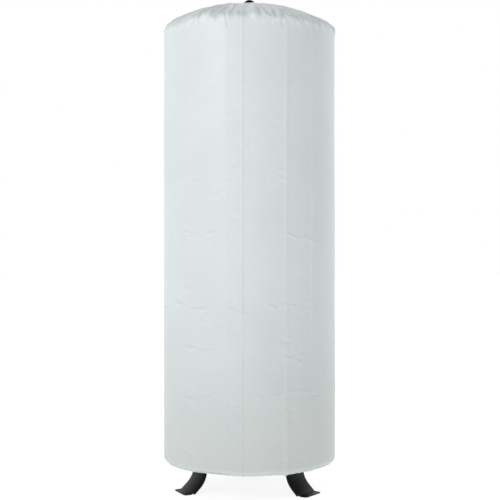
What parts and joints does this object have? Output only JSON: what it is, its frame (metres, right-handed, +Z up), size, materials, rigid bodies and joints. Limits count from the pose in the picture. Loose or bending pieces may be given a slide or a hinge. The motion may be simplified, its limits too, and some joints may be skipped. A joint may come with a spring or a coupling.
{
  "type": "fire-blanket vessel jacket",
  "caption": "White fire-blanket jacket, drawn in by cords at neck and hem and zipped at the back, on an upright domed vessel with curved black steel legs and a lifting eye.",
  "frame": {"origin": "on the vessel's axis at the floor, midway under the object's box", "axes": "+Z up, -Y the front with the jacket's front seam, +Y the back with the zip, +X to the right seen from the front"},
  "size_m": [0.8382, 0.8469, 2.4],
  "materials": {
    "coated_fabric": "white coated glass-fibre cloth, satin",
    "fleece": "needled polyester fleece",
    "tape_weave": "woven polyester tape",
    "cord_braid": "braided polyester cord",
    "black_paint": "semi-gloss black paint on pressed steel",
    "primer": "matt grey primer on welded steel",
    "zinc": "plated zinc die casting",
    "spring_steel": "bright spring wire",
    "grey_acetal": "moulded acetal",
    "zip_coil": "polyester monofilament coil"
  },
  "bodies": {
    "vessel": {"tank_shell": "primer", "top_head": "primer", "bottom_head": "primer", "top_boss": "primer", "bottom_socket": "primer", "lifting_eye": "black_paint", "leg_front_left": "black_paint", "leg_front_right": "black_paint", "leg_rear": "black_paint"},
    "neck_lock_button": {"neck_lock_button": "grey_acetal"},
    "hem_lock_button": {"hem_lock_button": "grey_acetal"},
    "zip_slider": {"zip_slider_front": "zinc", "zip_slider_back": "zinc"},
    "zip_pull": {"zip_pull": "zinc"},
    "jacket": {"fleece_wrap": "fleece", "fleece_top": "fleece", "jacket_left_panel": "coated_fabric", "jacket_right_panel": "coated_fabric", "front_seam_tape": "tape_weave", "neck_tunnel": "coated_fabric", "neck_drawcord": "cord_braid", "neck_cord_knot": "cord_braid", "neck_lock_barrel": "grey_acetal", "neck_lock_spring": "spring_steel", "hem_tunnel": "coated_fabric", "hem_drawcord": "cord_braid", "hem_cord_knot": "cord_braid", "hem_lock_barrel": "grey_acetal", "hem_lock_spring": "spring_steel", "zip_tape_left": "tape_weave", "zip_tape_right": "tape_weave", "zip_coil_left": "zip_coil", "zip_coil_right": "zip_coil", "zip_stop_left": "zinc", "zip_stop_right": "zinc", "zip_starting_box": "zinc"}
  },
  "joints": [
    {"name": "jacket_lift", "type": "slide", "parent": "vessel", "child": "jacket", "axis": [0, 0, 1], "range_m": [0, 2.32]},
    {"name": "zip_travel", "type": "slide", "parent": "jacket", "child": "zip_slider", "axis": [0, 0, 1], "range_m": [0, 1.96]},
    {"name": "pull_swing", "type": "hinge", "parent": "zip_slider", "child": "zip_pull", "pos_m": [0, 0.42461, 0.2076], "axis": [1, 0, 0], "range_deg": [0, 165]},
    {"name": "neck_button_press", "type": "slide", "parent": "jacket", "child": "neck_lock_button", "axis": [-1, 0, 0], "range_m": [0, 0.004], "stiffness_N_per_m": 600, "springref_m": -0.003, "deforming": ["neck_lock_spring"]},
    {"name": "hem_button_press", "type": "slide", "parent": "jacket", "child": "hem_lock_button", "axis": [-1, 0, 0], "range_m": [0, 0.004], "stiffness_N_per_m": 600, "springref_m": -0.003, "deforming": ["hem_lock_spring"]}
  ]
}
